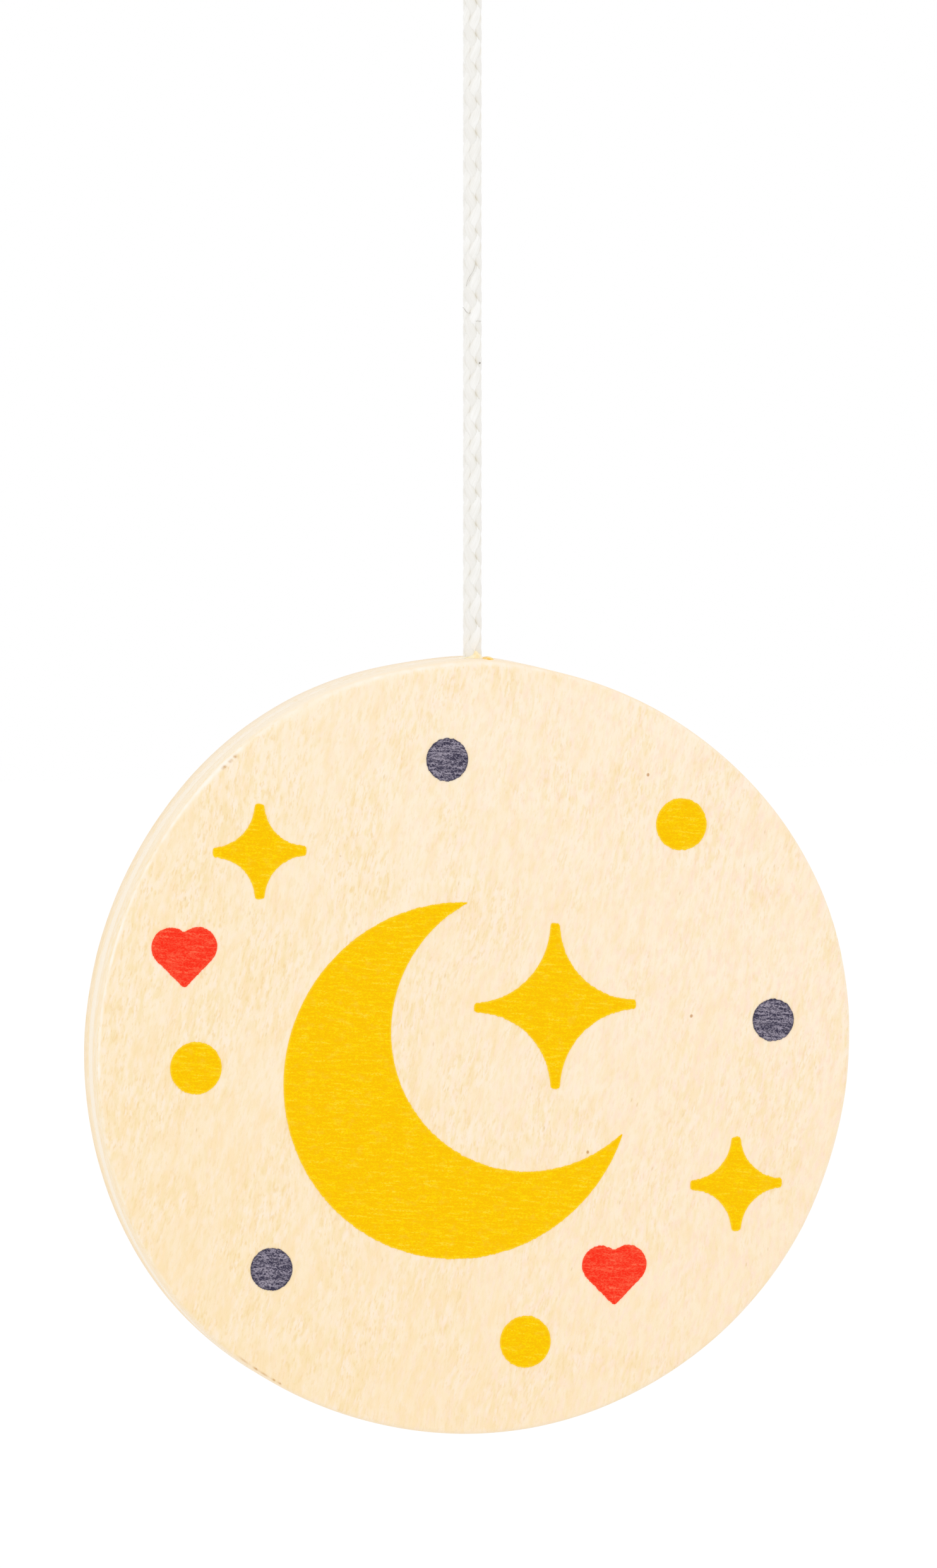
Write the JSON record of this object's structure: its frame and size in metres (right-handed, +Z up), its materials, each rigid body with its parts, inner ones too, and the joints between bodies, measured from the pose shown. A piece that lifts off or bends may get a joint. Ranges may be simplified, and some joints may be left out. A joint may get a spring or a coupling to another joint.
{
  "type": "baby mobile pendant",
  "caption": "Round printed plywood disc of a baby mobile, hung on a braided cord that is glued into its top edge and looped through a small screw eye.",
  "frame": {"origin": "on the screw eye's axis, where its thread meets the underside of the arm that holds it", "axes": "+Z up along the thread, into the arm; -Y out of the disc's printed face; +X to the right of that face"},
  "size_m": [0.065, 0.0074, 0.1635],
  "materials": {
    "wood_face": "sanded, clear satin",
    "wood_core": "sawn and sanded",
    "ply_glue": "cured wood glue",
    "hole_glue": "cured clear glue",
    "cord": "braided polyester",
    "brass": "bright plated",
    "ink_yellow": "thin matt ink",
    "ink_navy": "thin matt ink",
    "ink_red": "thin matt ink"
  },
  "bodies": {
    "hanger": {"screw_eye": "brass"},
    "loop": {"hanging_loop": "cord", "loop_knot": "cord", "cord_end": "cord"},
    "cord": {"cord_run": "cord"},
    "foot": {"cord_foot": "cord"},
    "disc": {"front_ply": "wood_face", "front_glue_line": "ply_glue", "core_ply": "wood_core", "back_glue_line": "ply_glue", "back_ply": "wood_face", "hole_glue": "hole_glue", "cord_tail": "cord", "moon_print": "ink_yellow", "large_twinkle_print": "ink_yellow", "small_twinkle_prints": "ink_yellow", "yellow_dot_prints": "ink_yellow", "navy_dot_prints": "ink_navy", "heart_prints": "ink_red"}
  },
  "joints": [
    {"name": "loop_swing", "type": "hinge", "parent": "hanger", "child": "loop", "pos_m": [0, 0, -0.0085], "axis": [1, 0, 0], "range_deg": [-45, 45]},
    {"name": "cord_swing", "type": "hinge", "parent": "loop", "child": "cord", "pos_m": [0, 0, -0.0255], "axis": [0, 1, 0], "range_deg": [-45, 45]},
    {"name": "cord_twist", "type": "hinge", "parent": "cord", "child": "foot", "pos_m": [0, 0, -0.0825], "axis": [0, 0, 1], "range_deg": [-180, 180], "stiffness_Nm_per_rad": 0.00005},
    {"name": "disc_rock", "type": "hinge", "parent": "foot", "child": "disc", "pos_m": [0, 0, -0.0885], "axis": [1, 0, 0], "range_deg": [-30, 30]}
  ]
}
